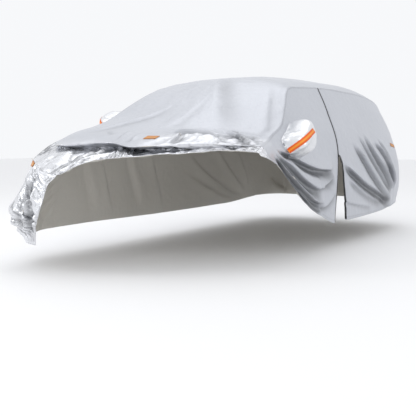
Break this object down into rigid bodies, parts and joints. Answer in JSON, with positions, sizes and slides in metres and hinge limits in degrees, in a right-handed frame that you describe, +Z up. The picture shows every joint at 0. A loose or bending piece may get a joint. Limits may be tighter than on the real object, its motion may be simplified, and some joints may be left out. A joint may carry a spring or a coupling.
{
  "type": "fitted car cover",
  "caption": "Fitted car cover of coated cloth, hung in folds to a low hem, with mirror pockets, reflective strips, a parted side zip, and its front corner folded back over the bonnet.",
  "frame": {"origin": "on the roof of the car that the cover hangs over, under the roof cloth on the centre line, where the cloth rests", "axes": "+X to the car's left, -Y to its front, +Z up; the ground lies 1.587 m below the origin"},
  "size_m": [2.1124, 4.4394, 1.3962],
  "materials": {
    "coated_cloth": "silver coated polyester, soft sheen, fine weave",
    "pocket_cloth": "bright silver foil faced cloth, crumpled",
    "zip": "black woven tape and nylon teeth, dark slider",
    "reflective_strip": "orange fluorescent with a pale reflective middle band"
  },
  "bodies": {
    "root": {"top_panel": "coated_cloth", "side_panel_left_front": "coated_cloth", "side_panel_left_rear": "coated_cloth", "side_panel_right": "coated_cloth", "mirror_pocket_left": "pocket_cloth", "mirror_pocket_right": "pocket_cloth", "zip_closed": "zip", "zip_tape_front": "zip", "zip_tape_rear": "zip", "zip_slider": "zip", "mirror_strip_left": "reflective_strip", "mirror_strip_right": "reflective_strip", "headlamp_strip_left": "reflective_strip", "headlamp_strip_right": "reflective_strip", "tail_strip_left": "reflective_strip", "tail_strip_right": "reflective_strip"}
  },
  "joints": []
}
